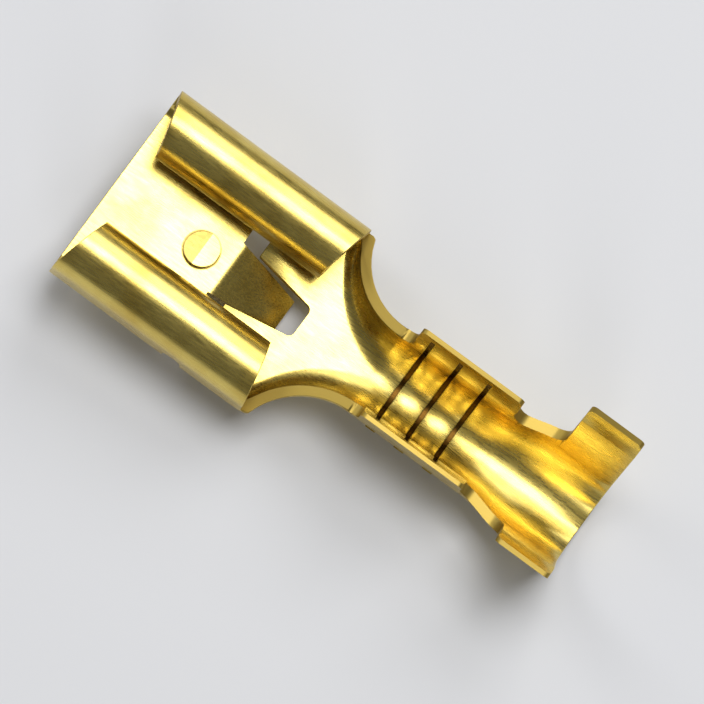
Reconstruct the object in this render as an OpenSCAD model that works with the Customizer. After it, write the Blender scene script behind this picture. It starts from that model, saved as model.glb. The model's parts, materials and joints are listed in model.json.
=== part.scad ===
// Female spade terminal with an open barrel, folded from one piece of brass strip.
// Inside terminal_flat() the terminal lies along X: the tab enters at x = 0, the wire
// leaves at the other end, and the underside of the strip is z = 0.
// terminal() then lays it down the way it rests, on the tip edge of its lance and the end
// of the insulation barrel.

/* [Strip] */
// Thickness of the brass strip
strip_t = 0.4; // [0.3:0.05:0.45]
// Overall length, from the mouth to the end of the insulation barrel
overall_length = 19.8; // [19.6:0.1:21]

/* [Receptacle] */
// Outer width over the two rolls
receptacle_w = 7.6; // [7.4:0.1:8]
// Height of the rolls above the underside
receptacle_h = 2.85; // [2.7:0.05:3.1]
// Length of the receptacle along its rolls
receptacle_l = 8.05; // [8:0.05:8.15]
// Outer radius of a roll
roll_r = 1.2; // [1.1:0.05:1.25]
// How far each roll curls back down past its widest point, in degrees
roll_curl = 27; // [15:1:35]
// How far the free edge of a roll stands back from the mouth
mouth_setback = 0.6; // [0.3:0.1:1]
// How far the free edge of a roll stops short at the rear
rear_setback = 0.5; // [0.2:0.05:0.7]

/* [Lock] */
// Distance from the mouth to the middle of the locking dimple
dimple_x = 3.75; // [3.6:0.05:3.9]
// Radius of the locking dimple
dimple_r = 0.64; // [0.5:0.01:0.7]
// Height of the dimple above the floor
dimple_h = 0.3; // [0.2:0.05:0.35]
// Angle by which the lance is bent out of the back, in degrees
lance_angle = 24; // [15:1:30]
// Length of the lance past its bend
lance_l = 2.6; // [2.1:0.05:2.7]

/* [Wire barrels] */
// Inner radius of the conductor barrel
wire_r = 1.35; // [1.2:0.05:1.45]
// Height of the conductor wings
wire_h = 3.4; // [3.1:0.05:3.8]
// Inner radius of the insulation barrel
grip_r = 1.65; // [1.5:0.05:1.75]
// Height of the insulation wings
grip_h = 4.9; // [4.3:0.1:5.3]

/* [Hidden] */

$fn = 64;
brass = "#C9A64B";
far = 12;              // reach of a cutter that goes right through
slack = 0.01;          // how far a lofted skin lies inside its neighbours' faces
lap = 0.05;            // how far a lofted skin reaches into its neighbours
wing_slack = 0.004;    // how far a wing's faces lie inside its barrel's faces
wing_root = 0.1;       // how far a wing reaches into its barrel's curve
skin = 0.05;           // how far a cutter stands clear of the face that it starts from

// Receptacle section
half_w = receptacle_w / 2;
floor_bend_r = 0.8;    // outer radius of the bend between floor and side
roll_y = half_w - roll_r;
roll_z = receptacle_h - roll_r;
free_edge_y = roll_y - roll_r * cos(roll_curl);

// Cross slot, window and lance
slot_x = 4.77;
slot_w = 0.72;
slot_z = 0.95;         // height of the middle of the slot's round ends on the sides
window_end = 8;
window_front_half = 1.15;
window_rear_half = 0.66;
window_corner_r = 0.25;
lance_root_half = 1.05;
lance_tip_half = 0.65;
lance_bend_r = 0.2;    // inner radius of the bend at the lance's root
bend_steps = 6;

// Press marks in the floor
coin_x = 0.87;
coin_l = 1.62;
coin_half = 0.88;
coin_depth = 0.07;
shear_x = 6.77;
shear_y = 2.05;
shear_r = 0.47;
shear_depth = 0.06;
dimple_wall = 0.14;    // how much narrower the recess under the dimple is
dimple_roof = 0.32;    // metal left over that recess

// Conductor barrel
barrel_x = 11;         // the funnel ends and the barrel's section starts
wire_wing_x = 11.45;
wire_wing_end = 15.7;
wire_splay = 4;        // lean of the wings away from upright, in degrees
groove_first = 12;
groove_pitch = 1.2;
groove_count = 3;
groove_w = 0.16;
groove_depth = 0.12;
groove_top = 3.2;
rib_w = 0.4;           // faint raised band on the outside, opposite each groove
rib_h = 0.035;
rib_top = 1.6;

// Insulation barrel
grip_wing_x = 17.6;
grip_splay = 15;
notch_z = 2;           // height of the wall between the two barrels
notch_r = 0.5;
foot_r = 0.35;         // fillet where the conductor wings rise from the funnel
tip_r = 0.2;           // rounding of the wings' corners

// Funnel between the receptacle and the conductor barrel
neck_x = 7.65;         // the floor starts to draw in
neck_curve_r = 2.77;   // radius of the hollow side, in plan
neck_edge_start = 1;
neck_edge_end = 1.95;
neck_steps = 24;
flare_steps = 10;
arc_steps = 12;

bend_y = half_w - floor_bend_r;

// Resting attitude: the table touches the lance's tip edge and the barrel's end.
lance_tip_x = slot_x + lance_l * cos(lance_angle) + lance_bend_r * sin(lance_angle);
lance_tip_z = -lance_bend_r - lance_l * sin(lance_angle) + lance_bend_r * cos(lance_angle);
rest_tilt = atan(-lance_tip_z / (overall_length - lance_tip_x));
rest_x = [0, overall_length * cos(rest_tilt) + grip_h * sin(rest_tilt)];
rest_z = overall_length * sin(rest_tilt);

// Turns a section drawn in (y, z) into a bar along X.
module along_x(from, to) {
    translate([from, 0, 0])
        rotate([90, 0, 90])
            linear_extrude(to - from)
                children();
}

// Turns an outline drawn in (x, z) into a cutter across Y.
module across_y(half = far) {
    translate([0, half, 0])
        rotate([90, 0, 0])
            linear_extrude(2 * half)
                children();
}

module both_sides() {
    children();
    mirror([0, 1, 0])
        children();
}

// ---- Receptacle ----

// Half the floor in (y, z), with the bend up into the side.
module floor_section() {
    square([bend_y, strip_t]);
    translate([bend_y, floor_bend_r])
        intersection() {
            difference() {
                circle(floor_bend_r);
                circle(floor_bend_r - strip_t);
            }
            translate([0, -floor_bend_r])
                square(floor_bend_r);
        }
}

// One side and its roll in (y, z), above the bend.
module roll_section() {
    translate([half_w - strip_t, floor_bend_r])
        square([strip_t, roll_z - floor_bend_r]);
    translate([roll_y, roll_z])
        difference() {
            circle(roll_r);
            circle(roll_r - strip_t);
            polygon([
                [0, 0],
                [-far * cos(roll_curl), -far * sin(roll_curl)],
                [-far * cos(roll_curl), -far],
                [far, -far],
                [far, 0]
            ]);
        }
}

// Trims both ends of a roll: from nothing at the side to the set-back at the free edge.
module roll_ends() {
    reach = half_w - free_edge_y;
    translate([0, 0, floor_bend_r])
        linear_extrude(far)
            union() {
                polygon([
                    [-far, half_w + reach],
                    [-mouth_setback, half_w + reach],
                    [mouth_setback, free_edge_y],
                    [mouth_setback, 0],
                    [-far, 0]
                ]);
                polygon([
                    [receptacle_l + rear_setback, half_w + reach],
                    [far, half_w + reach],
                    [far, 0],
                    [receptacle_l - rear_setback, 0],
                    [receptacle_l - rear_setback, free_edge_y]
                ]);
            }
}

module receptacle_blank() {
    both_sides() {
        along_x(0, neck_x)
            floor_section();
        difference() {
            along_x(0, receptacle_l)
                roll_section();
            roll_ends();
        }
    }
}

// The slot that frees the lance: across the floor and up both sides to round ends.
module cross_slot() {
    translate([slot_x, -far, -far])
        cube([slot_w, 2 * far, far + floor_bend_r]);
    both_sides()
        translate([0, half_w, 0])
            across_y(floor_bend_r) {
                translate([slot_x, 0])
                    square([slot_w, slot_z]);
                translate([slot_x + slot_w / 2, slot_z])
                    circle(slot_w / 2);
            }
}

// The opening that the lance was cut from.
module window() {
    corner_x = window_end - window_corner_r;
    corner_y = window_rear_half - window_corner_r;
    translate([0, 0, -far / 2])
        linear_extrude(far / 2 + strip_t + skin) {
            polygon([
                [slot_x + skin, -window_front_half],
                [corner_x, -window_rear_half],
                [window_end, -corner_y],
                [window_end, corner_y],
                [corner_x, window_rear_half],
                [slot_x + skin, window_front_half]
            ]);
            for (side = [-1, 1])
                translate([corner_x, side * corner_y])
                    circle(window_corner_r);
        }
}

// The lance: a tongue bent out of the back that catches in a connector housing.
module lance() {
    bend_z = -lance_bend_r;
    turns = [for (i = [0 : bend_steps]) lance_angle * i / bend_steps];
    face = function (r, a) [slot_x + r * sin(a), bend_z + r * cos(a)];
    tip = function (r)
        face(r, lance_angle) + lance_l * [cos(lance_angle), -sin(lance_angle)];
    outer = lance_bend_r + strip_t;
    end_x = tip(outer).x;
    intersection() {
        across_y(lance_root_half)
            polygon(concat(
                [[slot_x - lap, strip_t]],
                [for (a = turns) face(outer, a)],
                [tip(outer), tip(lance_bend_r)],
                [for (i = [bend_steps : -1 : 0]) face(lance_bend_r, turns[i])],
                [[slot_x - lap, 0]]
            ));
        translate([0, 0, -far])
            linear_extrude(2 * far)
                polygon([
                    [slot_x - 1, -far],
                    [slot_x, -lance_root_half],
                    [end_x, -lance_tip_half],
                    [end_x, lance_tip_half],
                    [slot_x, lance_root_half],
                    [slot_x - 1, far]
                ]);
    }
}

// The dimple's own form: a ramp from the mouth side, then level, with a sheer far wall.
module dimple_form(r, base, top) {
    intersection() {
        translate([dimple_x, 0, base])
            cylinder(r = r, h = top - base + skin);
        across_y(r + skin)
            polygon([
                [dimple_x - r - skin, base],
                [dimple_x - r - skin, top - dimple_h],
                [dimple_x - r, top - dimple_h],
                [dimple_x, top],
                [dimple_x + r + skin, top],
                [dimple_x + r + skin, base]
            ]);
    }
}

module press_marks() {
    translate([coin_x, -coin_half, -skin])
        cube([coin_l, 2 * coin_half, coin_depth + skin]);
    for (side = [-1, 1])
        translate([shear_x, side * shear_y, -skin])
            cylinder(r = shear_r, h = shear_depth + skin);
    dimple_form(dimple_r - dimple_wall, -skin, strip_t + dimple_h - dimple_roof);
}

module raised_marks() {
    for (side = [-1, 1])
        translate([shear_x, side * shear_y, strip_t - skin])
            cylinder(r = shear_r, h = shear_depth + skin);
    dimple_form(dimple_r, strip_t / 2, strip_t + dimple_h);
}

// The receptacle and the funnel behind it, which the window runs into.
module receptacle() {
    difference() {
        union() {
            receptacle_blank();
            neck();
            raised_marks();
        }
        cross_slot();
        window();
        press_marks();
    }
    lance();
}

// ---- Funnels: the sheet between two sections, lofted with its thickness ----

function eased(u) = u * u * (3 - 2 * u);
function mixed(a, b, u) = a + (b - a) * u;

// One ring of the sheet at x: flat out to flat_y, a bend of height r, then a wing that
// leans by splay up to the height edge. The bend ends at w outside and at w_in inside. The
// ring runs from the left edge over the bottom to the right edge, and back along the inside.
function sheet_ring(x, flat_y, w, w_in, r, edge, splay) =
    let (
        arcs = [for (i = [0 : arc_steps]) mixed(-90, -splay, i / arc_steps)],
        bend = function (half, rise, gap)
            [for (a = arcs) [flat_y + (half - flat_y + gap) * cos(a), r + (rise + gap) * sin(a)]],
        wing = function (arc)
            let (p = arc[arc_steps], top = edge - slack)
            concat(arc, [[p.x + (top - p.y) * tan(splay), top]]),
        outer = wing(bend(w, r, -slack)),
        inner = wing(bend(w_in, r - strip_t, slack)),
        last = arc_steps + 1
    )
    concat(
        [for (i = [last : -1 : 0]) [x, -outer[i].x, outer[i].y]],
        [for (i = [0 : last]) [x, outer[i].x, outer[i].y]],
        [for (i = [last : -1 : 0]) [x, inner[i].x, inner[i].y]],
        [for (i = [0 : last]) [x, -inner[i].x, inner[i].y]]
    );

// Skins a list of rings and closes its two ends.
module sheet_loft(rings) {
    n = len(rings[0]);
    m = len(rings);
    half = n / 2;
    sides = [
        for (k = [0 : m - 2], i = [0 : n - 1])
            let (j = (i + 1) % n)
            [k * n + i, (k + 1) * n + i, (k + 1) * n + j, k * n + j]
    ];
    front = [for (i = [0 : half - 2]) [i, i + 1, n - 2 - i, n - 1 - i]];
    back = [
        for (i = [0 : half - 2])
            let (b = (m - 1) * n)
            [b + i, b + n - 1 - i, b + n - 2 - i, b + i + 1]
    ];
    polyhedron(
        points = [for (ring = rings, p = ring) p],
        faces = concat(sides, front, back),
        convexity = 6
    );
}

// In plan the neck's sides are hollow arcs about one centre. The outside, the inside and
// the start of the bend are arcs of growing radius about it.
barrel_half = wire_r + strip_t;
neck_centre_y = barrel_half + neck_curve_r;
function neck_arc(x, r) =
    let (run = barrel_x - x)
    run < r ? neck_centre_y - sqrt(r * r - run * run) : far;

module neck() {
    sheet_loft([
        for (k = [-1 : neck_steps + 1])
            let (
                step = min(max(k, 0), neck_steps),
                x = barrel_x - (barrel_x - neck_x) * sin(90 * (1 - step / neck_steps)),
                u = (x - neck_x) / (barrel_x - neck_x),
                r = mixed(floor_bend_r, barrel_half, u)
            )
            sheet_ring(
                x + lap * (k - step),
                max(0, min(half_w - floor_bend_r, neck_arc(x, neck_curve_r + r))),
                min(half_w, neck_arc(x, neck_curve_r)),
                min(half_w - strip_t, neck_arc(x, neck_curve_r + strip_t)),
                r,
                mixed(neck_edge_start, neck_edge_end, u),
                wire_splay * u
            )
    ]);
}

// The barrel widens between the two pairs of wings.
flare_x = wire_wing_end + lap;
flare_end = grip_wing_x - lap;
module flare() {
    sheet_loft([
        for (k = [-1 : flare_steps + 1])
            let (
                step = min(max(k, 0), flare_steps),
                u = step / flare_steps,
                r = mixed(wire_r, grip_r, eased(u)) + strip_t
            )
            sheet_ring(
                mixed(flare_x, flare_end, u) + lap * (k - step),
                0,
                r,
                r - strip_t,
                r,
                grip_h + skin,
                mixed(wire_splay, grip_splay, eased(u))
            )
    ]);
}

// ---- Barrels ----

// A round-bottomed channel standing on z = 0, with wings that lean outwards. Its sheet
// runs from r_in to r_out about an axis at the height base_r.
module channel(from, to, r_in, r_out, base_r, splay) {
    translate([0, 0, base_r])
        union() {
            along_x(from, to)
                difference() {
                    circle(r_out);
                    circle(r_in);
                    polygon([
                        [0, 0],
                        [far * cos(splay), -far * sin(splay)],
                        [far, far],
                        [-far, far],
                        [-far * cos(splay), -far * sin(splay)]
                    ]);
                }
            both_sides()
                along_x(from, to)
                    rotate(-splay)
                        translate([r_in + wing_slack, -wing_root])
                            square([r_out - r_in - 2 * wing_slack, far]);
        }
}

// A slot between two wings, in (x, z), with a rounded foot on each side.
module gap(from, to, low, r) {
    translate([from, low + r])
        square([to - from, far]);
    translate([from + r, low])
        square([to - from - 2 * r, far]);
    for (x = [from + r, to - r])
        translate([x, low + r])
            circle(r);
}

// The waste outside a rounded upper corner of a wing; end is 1 for its rear corner.
module tip_waste(x, z, end) {
    translate([x, z])
        mirror([end, 0])
            difference() {
                translate([-skin, -tip_r])
                    square(tip_r + skin);
                translate([tip_r, -tip_r])
                    circle(tip_r);
            }
}

// The blank's outline along both barrels, in (x, z).
module side_outline() {
    front = barrel_x - 1;
    difference() {
        translate([barrel_x, -skin])
            square([overall_length - barrel_x, grip_h + skin]);
        gap(front, wire_wing_x, neck_edge_end, foot_r);
        gap(wire_wing_end, grip_wing_x, notch_z, notch_r);
        translate([front, wire_h])
            square([(wire_wing_end + grip_wing_x) / 2 - front, far]);
        tip_waste(wire_wing_x, wire_h, 0);
        tip_waste(wire_wing_end, wire_h, 1);
        tip_waste(grip_wing_x, grip_h, 0);
        tip_waste(overall_length, grip_h, 1);
    }
}

// A band round the conductor barrel at one groove, up to a height.
module groove_band(i, w, top, r_in, r_out) {
    x = groove_first + i * groove_pitch;
    intersection() {
        channel(x - w / 2, x + w / 2, r_in, r_out, barrel_half, wire_splay);
        translate([x - w, -far / 2, -far / 2])
            cube([2 * w, far, far / 2 + top]);
    }
}

module conductor_barrel() {
    r = barrel_half;
    difference() {
        union() {
            channel(barrel_x, flare_x, wire_r, r, r, wire_splay);
            for (i = [0 : groove_count - 1])
                groove_band(i, rib_w, rib_top, r - skin, r + rib_h);
        }
        for (i = [0 : groove_count - 1])
            groove_band(i, groove_w, groove_top, wire_r - skin, wire_r + groove_depth);
    }
}

module insulation_barrel() {
    r = grip_r + strip_t;
    channel(flare_end, overall_length, grip_r, r, r, grip_splay);
}

module barrels() {
    intersection() {
        union() {
            conductor_barrel();
            flare();
            insulation_barrel();
        }
        across_y()
            side_outline();
    }
}

// ---- The whole terminal ----

module terminal_flat() {
    receptacle();
    barrels();
}

// Laid down, with the middle of its footprint over the origin.
module terminal() {
    color(brass)
        translate([-(rest_x[0] + rest_x[1]) / 2, 0, rest_z])
            rotate([0, rest_tilt, 0])
                terminal_flat();
}

terminal();
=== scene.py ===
"""The look of a brass spade terminal: sheared-edge rounding, rolled brass and a pale studio."""
import json
import math

import bmesh
import bpy
from bpy.props import (
    FloatProperty, FloatVectorProperty, IntProperty, PointerProperty,
)
from mathutils import Matrix, Vector


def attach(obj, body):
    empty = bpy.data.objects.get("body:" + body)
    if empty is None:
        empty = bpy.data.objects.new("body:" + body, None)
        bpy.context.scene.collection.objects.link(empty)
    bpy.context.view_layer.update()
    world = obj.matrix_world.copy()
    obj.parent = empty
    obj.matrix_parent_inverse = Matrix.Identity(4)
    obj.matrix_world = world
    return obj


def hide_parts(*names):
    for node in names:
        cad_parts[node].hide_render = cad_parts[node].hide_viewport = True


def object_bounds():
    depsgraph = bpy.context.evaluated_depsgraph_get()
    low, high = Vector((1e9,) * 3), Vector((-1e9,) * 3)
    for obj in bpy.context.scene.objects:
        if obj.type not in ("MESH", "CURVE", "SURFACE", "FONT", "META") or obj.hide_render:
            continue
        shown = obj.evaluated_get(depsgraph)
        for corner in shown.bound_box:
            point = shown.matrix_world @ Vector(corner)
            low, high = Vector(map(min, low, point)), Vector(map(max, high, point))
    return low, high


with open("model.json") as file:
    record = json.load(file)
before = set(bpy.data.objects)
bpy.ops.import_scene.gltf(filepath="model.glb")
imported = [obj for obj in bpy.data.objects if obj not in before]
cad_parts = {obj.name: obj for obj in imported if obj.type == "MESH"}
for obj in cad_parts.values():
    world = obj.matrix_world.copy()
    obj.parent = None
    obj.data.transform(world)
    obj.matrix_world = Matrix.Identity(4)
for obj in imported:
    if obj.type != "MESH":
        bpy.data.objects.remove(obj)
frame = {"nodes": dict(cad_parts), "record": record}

bl_info = {
    "name": "Spade Terminal",
    "version": (1, 0, 0),
    "blender": (4, 5, 0),
    "location": "View3D > Sidebar > Terminal",
    "description": "Dresses a folded brass spade terminal and sets its stage",
    "category": "Object",
}

MM = 0.001
CAD_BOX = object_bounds()
NODE = "terminal"
MOUNTS = {mount["name"]: mount for mount in frame["record"]["mounts"]}
MOUTH = Vector(MOUNTS["tab_receptacle"]["pos_m"])
ALONG = Vector(MOUNTS["wire_barrel"]["axis"]).normalized()
UP = Vector((-ALONG.z, 0.0, ALONG.x))

# Thickness of the strip, and of the tab that lies on it, in mm. The mouth's mount stands at
# mid-height of the tab.
STRIP = 0.4
TAB = 0.8
# The underside of the strip, at the mouth.
ORIGIN = MOUTH - (STRIP + TAB / 2) * MM * UP

# Where one stretch of the barrels runs on into the next, along the strip, in mm.
SEAMS = (11.0, 15.75, 17.55)
# The wings of each barrel, in mm: where they start and end along the strip, how high they
# reach, the radius outside the barrel, and how far they lean out, in degrees.
WINGS = [(11.2, 16.3, 3.4, 1.75, 4.0), (17.2, 20.5, 4.9, 2.05, 15.0)]
# The locking dimple: its middle along the strip and its radius, in mm.
DIMPLE = (3.75, 0.64)
# The painted shade round its foot, a dark line in the corner, in mm: how far outside the dimple
# the middle of the line lies, and how far from there it is at its darkest and has gone.
DIMPLE_SHADE = (0.015, 0.02, 0.055)
# How dark that line of painted shade is, where 1 is the full shade colour.
DIMPLE_SHADE_STRENGTH = 0.8
# The serrations across the conductor barrel: the first, their pitch, how many, half a width.
GROOVES = (12.0, 1.2, 3, 0.1)

# Cleaning of the solid's mesh, in mm: corners that are one, how near to a seam its corners
# lie and how far they may be apart, and edges too short to keep.
WELD = 0.007
SEAM_REACH = 0.003
SEAM_WELD = 0.06
SHORTEST = 0.004
# Faces that turn by less than this are one face.
FLAT = math.radians(0.6)
# A hairline face: narrower than the first and longer than the second, in mm.
SLIVER = (0.012, 0.5)
# How often the joining of hairline faces is repeated, as one join can make another.
SLIVER_ROUNDS = 3
# How near to the cut plane a corner of a wing counts as on it, in mm.
CUT_REACH = 0.0005
# An edge is rounded if it is longer, and its faces wider, than this, in mm, and if each edge
# beside it is longer than this many radii.
ROOM = 0.05
ROOM_RADII = 1.5
# How far below the barrel's outside a face of a serration lies at least, in mm.
GROOVE_MARGIN = 0.05
# A sheared face is as wide as the strip is thick, or less where it is coined, in mm.
SHEARED = (0.1, 0.45)

# The floor: its radius in metres and its sides.
FLOOR_RADIUS = 1.5
FLOOR_SIDES = 64
# Width of the camera's sensor and its range: the first in mm, the others in metres.
SENSOR = 36.0
CLIP = (0.01, 20.0)
# The lamps: name, place from the terminal's middle and size in metres, and share of the power.
LAMPS = [
    ("lamp_over", (0.03, 0.08, 0.35), (0.20, 0.16), 1.0),
    ("lamp_far", (0.03, 0.30, 0.27), (0.30, 0.22), 0.75),
    ("lamp_left", (-0.30, 0.05, 0.22), (0.12, 0.30), 0.4),
    ("lamp_right", (0.20, -0.26, 0.20), (0.10, 0.24), 0.25),
]
# The view: from where it is seen, and which way is right.
VIEW_FROM = Vector((0.0758, -0.1780, 0.9811))
VIEW_RIGHT = Vector((0.8115, 0.5820, 0.0420))


# ---- Helpers ----

def linear(hex_colour):
    """An sRGB hex colour as linear red, green and blue."""
    channels = [int(hex_colour[i:i + 2], 16) / 255 for i in (1, 3, 5)]
    return [c / 12.92 if c <= 0.04045 else ((c + 0.055) / 1.055) ** 2.4 for c in channels]


def add(tree, kind, inputs=None, **settings):
    """Adds a node of a kind with its settings, and sets or links its inputs by name or number."""
    node = tree.nodes.new(kind)
    for name, value in settings.items():
        setattr(node, name, value)
    for key, value in (inputs or {}).items():
        if isinstance(value, bpy.types.NodeSocket):
            tree.links.new(value, node.inputs[key])
        else:
            node.inputs[key].default_value = value
    return node


def new_material(name):
    """An empty node material and its tree."""
    material = bpy.data.materials.new(name)
    material.use_nodes = True
    material.node_tree.nodes.clear()
    return material, material.node_tree


def linked(name, data):
    """A new object of this data, in the scene."""
    obj = bpy.data.objects.new(name, data)
    bpy.context.scene.collection.objects.link(obj)
    return obj


# ---- Settings ----

class TerminalStrip(bpy.types.PropertyGroup):
    """The strip that the terminal is folded from."""
    edge_radius: FloatProperty(
        name="Edge radius", description="Rounding left by blanking and barrelling",
        default=0.03 * MM, min=0.0, unit="LENGTH", precision=6)
    edge_segments: IntProperty(
        name="Edge segments", description="Faces across one rounded edge", default=2, min=1)
    sharp_angle: FloatProperty(
        name="Sharp angle", description="Edges that turn by more than this are rounded",
        default=math.radians(30), subtype="ANGLE")
    crease_angle: FloatProperty(
        name="Crease angle", description="Edges that turn by more than this look crisp",
        default=math.radians(20), subtype="ANGLE")
    coin_depth: FloatProperty(
        name="Coined depth", description="How far down each wing its thin tip starts",
        default=0.6 * MM, unit="LENGTH", precision=6)
    coin_tip: FloatProperty(
        name="Coined tip", description="Share of the strip's thickness left at a wing's tip",
        default=0.4, min=0.1, max=1, subtype="FACTOR")


class BrassFinish(bpy.types.PropertyGroup):
    """Cold-rolled brass strip, stamped and left bare."""
    colour: FloatVectorProperty(
        name="Brass", description="Colour of the clean metal", subtype="COLOR",
        default=linear("#E1CA70"), min=0, max=1)
    dull_colour: FloatVectorProperty(
        name="Dull brass", description="Colour where the metal has begun to tarnish",
        subtype="COLOR", default=linear("#BC9A3C"), min=0, max=1)
    # Painted shade: the dark brown laid into the serrations and in a fine line round the dimple's
    # foot.
    shade_colour: FloatVectorProperty(
        name="Shade", description="Colour down in the serrations", subtype="COLOR",
        default=linear("#4A3312"), min=0, max=1)
    cut_colour: FloatVectorProperty(
        name="Cut brass", description="Colour of the sheared edges", subtype="COLOR",
        default=linear("#B0974B"), min=0, max=1)
    cut_roughness: FloatProperty(
        name="Cut roughness", description="Gloss of the sheared edges",
        default=0.48, min=0, max=1)
    roughness: FloatProperty(
        name="Roughness", description="Gloss of the rolled face", default=0.27, min=0, max=1)
    grain_width: FloatProperty(
        name="Grain width", description="Width of the rolling lines",
        default=0.06 * MM, unit="LENGTH", precision=6)
    cloud_size: FloatProperty(
        name="Cloud size", description="Size of the clouds of tarnish",
        default=1.6 * MM, unit="LENGTH", precision=6)


class StageSettings(bpy.types.PropertyGroup):
    """Floor, lamps and camera."""
    floor_colour: FloatVectorProperty(
        name="Floor", description="Colour of the floor", subtype="COLOR",
        default=linear("#DEDFE2"), min=0, max=1)
    frame_width: FloatProperty(
        name="Frame width", description="Width of the view at the terminal",
        default=24.0 * MM, unit="LENGTH", precision=4)
    camera_distance: FloatProperty(
        name="Camera distance", description="From the terminal to the camera",
        default=450 * MM, unit="LENGTH")
    room_grey: FloatProperty(
        name="Room grey", description="Brightness of the room around the lamps",
        default=0.12, min=0, max=1)
    lamp_power: FloatProperty(
        name="Lamp power", description="Power of the large lamp overhead, in watts",
        default=0.72, min=0)


# ---- Brass ----

def painted_dimple_shade(tree, place):
    """The share of painted shade in the corner round the foot of the locking dimple, falling to
    nothing a little way off. It gives a fine dark line of painted shade."""
    # Painted shade: a fine dark line in the corner round the dimple's foot.
    middle, radius = DIMPLE
    outside, full, end = DIMPLE_SHADE
    centre = ORIGIN + middle * MM * ALONG
    offset = add(tree, "ShaderNodeVectorMath", {0: place, 1: centre}, operation="SUBTRACT")
    across = add(
        tree, "ShaderNodeVectorMath", {0: offset.outputs[0], 1: UP}, operation="CROSS_PRODUCT")
    distance = add(tree, "ShaderNodeVectorMath", {0: across.outputs[0]}, operation="LENGTH")
    away = add(
        tree, "ShaderNodeMath",
        {0: distance.outputs["Value"], 1: (radius + outside) * MM}, operation="SUBTRACT")
    apart = add(tree, "ShaderNodeMath", {0: away.outputs[0]}, operation="ABSOLUTE")
    ring = add(
        tree, "ShaderNodeMapRange",
        {"Value": apart.outputs[0], "From Min": full * MM, "From Max": end * MM,
         "To Min": DIMPLE_SHADE_STRENGTH, "To Max": 0.0})
    return ring.outputs[0]


def brass_material(finish):
    """Cold-rolled cartridge brass, stamped and barrelled: a warm satin metal with faint
    rolling lines along the strip, random clouds of duller tone, and painted shade, a dark redder
    brown, in its hollows: the serrations and the corner round the dimple's foot."""
    material, tree = new_material("rolled_brass")
    place = add(tree, "ShaderNodeTexCoord").outputs["Object"]
    line_scale = 1 / finish.grain_width
    stretched = add(
        tree, "ShaderNodeMapping",
        {"Vector": place, "Scale": (line_scale * 0.06, line_scale, line_scale)})
    lines = add(
        tree, "ShaderNodeTexNoise",
        {"Vector": stretched.outputs[0], "Scale": 1.0, "Detail": 3.0, "Roughness": 0.6})
    clouds = add(
        tree, "ShaderNodeTexNoise",
        {"Vector": place, "Scale": 1 / finish.cloud_size, "Detail": 4.0, "Roughness": 0.55})
    tarnish = add(
        tree, "ShaderNodeMapRange",
        {"Value": clouds.outputs[0], "From Min": 0.42, "From Max": 0.72,
         "To Min": 0.0, "To Max": 0.55})
    colour = add(
        tree, "ShaderNodeMix",
        {"Factor": tarnish.outputs[0], 6: (*finish.colour, 1), 7: (*finish.dull_colour, 1)},
        data_type="RGBA")
    # Painted shade: faces in the serrations and a fine line round the dimple's foot are coloured
    # dark brown.
    groove = add(tree, "ShaderNodeAttribute", attribute_name="groove").outputs["Fac"]
    painted_shade = add(
        tree, "ShaderNodeMath", {0: groove, 1: painted_dimple_shade(tree, place)}, operation="MAXIMUM")
    shaded = add(
        tree, "ShaderNodeMix",
        {"Factor": painted_shade.outputs[0], 6: colour.outputs[2], 7: (*finish.shade_colour, 1)},
        data_type="RGBA")
    sheared = add(tree, "ShaderNodeAttribute", attribute_name="sheared").outputs["Fac"]
    cut = add(
        tree, "ShaderNodeMix",
        {"Factor": sheared, 6: shaded.outputs[2], 7: (*finish.cut_colour, 1)},
        data_type="RGBA")
    gloss = add(
        tree, "ShaderNodeMapRange",
        {"Value": lines.outputs[0], "From Min": 0.3, "From Max": 0.7,
         "To Min": finish.roughness - 0.05, "To Max": finish.roughness + 0.08})
    rough = add(
        tree, "ShaderNodeMix",
        {"Factor": sheared, "A": gloss.outputs[0], "B": finish.cut_roughness},
        data_type="FLOAT")
    bump = add(
        tree, "ShaderNodeBump",
        {"Height": lines.outputs[0], "Strength": 0.25, "Distance": 0.004 * MM})
    shader = add(
        tree, "ShaderNodeBsdfPrincipled",
        {"Base Color": cut.outputs[2], "Metallic": 1.0, "Roughness": rough.outputs[0],
         "Normal": bump.outputs[0]})
    add(tree, "ShaderNodeOutputMaterial", {"Surface": shader.outputs[0]})
    return material


# ---- Terminal ----

def on_strip(point):
    """A point's place along the strip, across it and above its underside, in mm."""
    offset = (point - ORIGIN) / MM
    return offset.dot(ALONG), offset.y, offset.dot(UP)


def clean_copy(node, name):
    """A CAD node's mesh with its triangles joined into whole faces, and each stretch of the
    barrels joined to the next."""
    mesh = node.data.copy()
    mesh.name = name
    shape = bmesh.new()
    shape.from_mesh(mesh)
    bmesh.ops.remove_doubles(shape, verts=shape.verts, dist=WELD * MM)
    for seam in SEAMS:
        ring = [v for v in shape.verts if abs(on_strip(v.co)[0] - seam) < SEAM_REACH]
        bmesh.ops.remove_doubles(shape, verts=ring, dist=SEAM_WELD * MM)
    bmesh.ops.dissolve_degenerate(shape, edges=shape.edges, dist=SHORTEST * MM)
    bmesh.ops.dissolve_limit(
        shape, angle_limit=FLAT, verts=shape.verts, edges=shape.edges)
    return mesh, shape


def width(face):
    """About how wide a face is across its longest edge."""
    return face.calc_area() / max(edge.calc_length() for edge in face.edges)


def join_slivers(shape):
    """Joins each long hairline face to the face along its longest side."""
    thin, long = (size * MM for size in SLIVER)
    for _ in range(SLIVER_ROUNDS):
        joins = set()
        for face in shape.faces:
            longest = max(face.edges, key=lambda edge: edge.calc_length())
            if longest.calc_length() > long and width(face) < thin:
                if len(longest.link_faces) == 2:
                    joins.add(longest)
        bmesh.ops.dissolve_edges(shape, edges=list(joins), use_verts=False)


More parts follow.
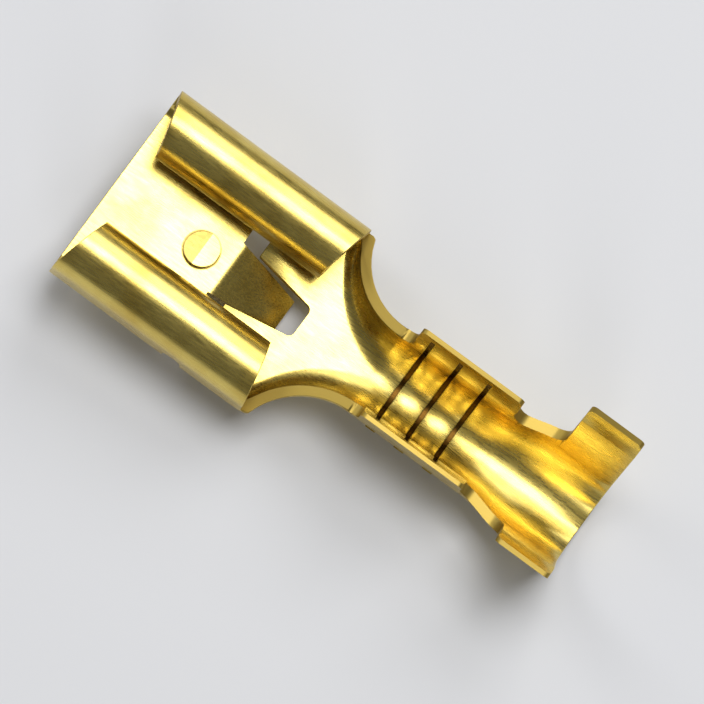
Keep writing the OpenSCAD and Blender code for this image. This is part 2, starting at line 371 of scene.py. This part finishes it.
def coin_wings(shape, depth, tip):
    """Thins each wing from its inner side towards the tip, as the press does so that the
    wings curl when they are crimped."""
    for start, end, height, radius, lean in WINGS:
        inside = [v for v in shape.verts if start < on_strip(v.co)[0] < end]
        faces = {face for v in inside for face in v.link_faces}
        edges = {edge for face in faces for edge in face.edges}
        verts = {v for face in faces for v in face.verts}
        foot = height - depth / MM
        bmesh.ops.bisect_plane(
            shape, geom=[*verts, *edges, *faces], dist=CUT_REACH * MM,
            plane_co=ORIGIN + foot * MM * UP, plane_no=UP)
        cosine, sine = math.cos(math.radians(lean)), math.sin(math.radians(lean))
        for v in shape.verts:
            x, y, z = on_strip(v.co)
            if not (start < x < end and z > foot):
                continue
            out = abs(y) * cosine - (z - radius) * sine
            kept = 1 - (1 - tip) * (z - foot) / (height - foot)
            moved = (radius - out) * (1 - kept)
            v.co += math.copysign(moved * cosine * MM, y) * Vector((0, 1, 0))
            v.co -= moved * sine * MM * UP


def sheared_edges(shape, sharp_angle, radius):
    """The outer sharp edges whose faces and neighbours leave room to round them."""
    def free(vert):
        return all(edge.calc_length() > ROOM_RADII * radius for edge in vert.link_edges)

    return [
        edge for edge in shape.edges
        if len(edge.link_faces) == 2
        and edge.is_convex
        and edge.calc_face_angle() > sharp_angle
        and edge.calc_length() > ROOM * MM
        and all(width(face) > ROOM * MM for face in edge.link_faces)
        and all(free(vert) for vert in edge.verts)
    ]


def mark_faces(shape, sharp_angle):
    """Marks the faces inside the serrations, which get painted shade, and the faces that the
    shears cut, which are as narrow as the strip is thick and have a sharp edge each side."""
    # This mask carries the painted shade of the serrations.
    groove = shape.faces.layers.float.new("groove")
    sheared = shape.faces.layers.float.new("sheared")
    first, pitch, count, half = GROOVES
    radius = WINGS[0][3]
    for face in shape.faces:
        places = [on_strip(v.co) for v in face.verts]
        in_one = any(
            all(abs(x - first - pitch * i) < half for x, _, _ in places) for i in range(count))
        _, y, z = on_strip(face.calc_center_median())
        out = math.hypot(y, min(z - radius, 0.0))
        face[groove] = float(in_one and out < radius - GROOVE_MARGIN)
        sides = sum(
            edge.calc_length() for edge in face.edges
            if len(edge.link_faces) == 2 and edge.is_convex
            and edge.calc_face_angle() > sharp_angle)
        across = 2 * face.calc_area() / sides / MM if sides else 0.0
        face[sheared] = float(SHEARED[0] < across < SHEARED[1] and not face[groove])


class TERMINAL_OT_body(bpy.types.Operator):
    """Rounds the sheared edges of the folded strip and gives it its brass"""
    bl_idname = "terminal.body"
    bl_label = "Folded strip"

    def execute(self, context):
        strip = context.scene.terminal_strip
        node = frame["nodes"][NODE]
        mesh, shape = clean_copy(node, "folded_strip")
        join_slivers(shape)
        coin_wings(shape, strip.coin_depth, strip.coin_tip)
        mark_faces(shape, strip.sharp_angle)
        edges = sheared_edges(shape, strip.sharp_angle, strip.edge_radius)
        rounded = set(edges)
        for edge in shape.edges:
            edge.smooth = (
                edge in rounded or len(edge.link_faces) != 2
                or edge.calc_face_angle() < strip.crease_angle)
        bmesh.ops.bevel(
            shape, geom=edges, offset=strip.edge_radius, affect="EDGES",
            segments=strip.edge_segments, profile=0.5, material=-1, clamp_overlap=False)
        for face in shape.faces:
            face.smooth = True
        shape.to_mesh(mesh)
        shape.free()
        mesh.materials.clear()
        mesh.materials.append(brass_material(context.scene.brass_finish))
        obj = linked("folded_strip", mesh)
        normals = obj.modifiers.new("even_shading", "WEIGHTED_NORMAL")
        normals.keep_sharp = True
        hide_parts(NODE)
        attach(obj, "root")
        return {"FINISHED"}


# ---- Stage ----

def floor_material(colour):
    """Matt white-painted board: even and pale, and white to the eye around the shadow."""
    material, tree = new_material("white_board")
    shader = add(
        tree, "ShaderNodeBsdfPrincipled",
        {"Base Color": (*colour, 1), "Roughness": 0.7, "Specular IOR Level": 0.3})
    add(tree, "ShaderNodeOutputMaterial", {"Surface": shader.outputs[0]})
    return material


def set_world(grey):
    """The dim grey of a room around the lamps, alike for the eye and for the metal."""
    world = bpy.data.worlds.new("studio")
    world.use_nodes = True
    tree = world.node_tree
    tree.nodes.clear()
    shade = add(tree, "ShaderNodeBackground", {"Color": (grey, grey, grey, 1), "Strength": 1.0})
    add(tree, "ShaderNodeOutputWorld", {"Surface": shade.outputs[0]})
    bpy.context.scene.world = world


def area_lamp(name, place, target, size, power):
    """A rectangular soft lamp that looks at a point."""
    data = bpy.data.lights.new(name, "AREA")
    data.shape = "RECTANGLE"
    data.size, data.size_y = size
    data.energy = power
    obj = linked(name, data)
    obj.location = place
    obj.rotation_euler = (Vector(target) - Vector(place)).to_track_quat("-Z", "Y").to_euler()


def set_camera(stage, middle):
    """Nearly overhead, turned so that the wire end points down and to the right."""
    right = VIEW_RIGHT.normalized()
    back = (VIEW_FROM - right * VIEW_FROM.dot(right)).normalized()
    up = back.cross(right)
    data = bpy.data.cameras.new("camera")
    data.sensor_width = SENSOR
    data.lens = SENSOR * stage.camera_distance / stage.frame_width
    data.clip_start, data.clip_end = CLIP
    obj = linked("camera", data)
    turn = Matrix((right, up, back)).transposed().to_4x4()
    obj.matrix_world = Matrix.Translation(middle + back * stage.camera_distance) @ turn
    bpy.context.scene.camera = obj


class TERMINAL_OT_stage(bpy.types.Operator):
    """Adds the pale floor, the soft lamps and the camera"""
    bl_idname = "terminal.stage"
    bl_label = "Stage"

    def execute(self, context):
        stage = context.scene.terminal_stage
        low, high = (Vector(corner) for corner in CAD_BOX)
        middle = (low + high) / 2

        shape = bmesh.new()
        bmesh.ops.create_circle(shape, cap_ends=True, segments=FLOOR_SIDES, radius=FLOOR_RADIUS)
        mesh = bpy.data.meshes.new("floor")
        shape.to_mesh(mesh)
        shape.free()
        mesh.transform(Matrix.Translation((0, 0, low.z)))
        mesh.materials.append(floor_material(stage.floor_colour))
        floor = linked("floor", mesh)

        for name, place, size, share in LAMPS:
            area_lamp(name, middle + Vector(place), middle, size, stage.lamp_power * share)
        set_world(stage.room_grey)
        set_camera(stage, middle)
        context.scene.view_settings.view_transform = "Standard"
        return {"FINISHED"}


# ---- Panel ----

class TERMINAL_PT_panel(bpy.types.Panel):
    """The terminal's pieces and settings"""
    bl_idname = "TERMINAL_PT_panel"
    bl_label = "Spade terminal"
    bl_space_type = "VIEW_3D"
    bl_region_type = "UI"
    bl_category = "Terminal"

    def draw(self, context):
        scene = context.scene
        for group, operator in (
            (scene.terminal_strip, TERMINAL_OT_body),
            (scene.brass_finish, None),
            (scene.terminal_stage, TERMINAL_OT_stage),
        ):
            box = self.layout.box()
            for name in group.__annotations__:
                box.prop(group, name)
            if operator:
                box.operator(operator.bl_idname)


CLASSES = (
    TerminalStrip, BrassFinish, StageSettings,
    TERMINAL_OT_body, TERMINAL_OT_stage, TERMINAL_PT_panel,
)
GROUPS = {
    "terminal_strip": TerminalStrip,
    "brass_finish": BrassFinish,
    "terminal_stage": StageSettings,
}


def register():
    """Adds the classes and the scene's settings."""
    for cls in CLASSES:
        bpy.utils.register_class(cls)
    for name, group in GROUPS.items():
        setattr(bpy.types.Scene, name, PointerProperty(type=group))


def unregister():
    """Takes away what register added."""
    for name in GROUPS:
        delattr(bpy.types.Scene, name)
    for cls in reversed(CLASSES):
        bpy.utils.unregister_class(cls)


def main():
    """Dresses the part and sets the stage."""
    register()
    bpy.ops.terminal.body()
    bpy.ops.terminal.stage()


if __name__ == "__main__":
    main()
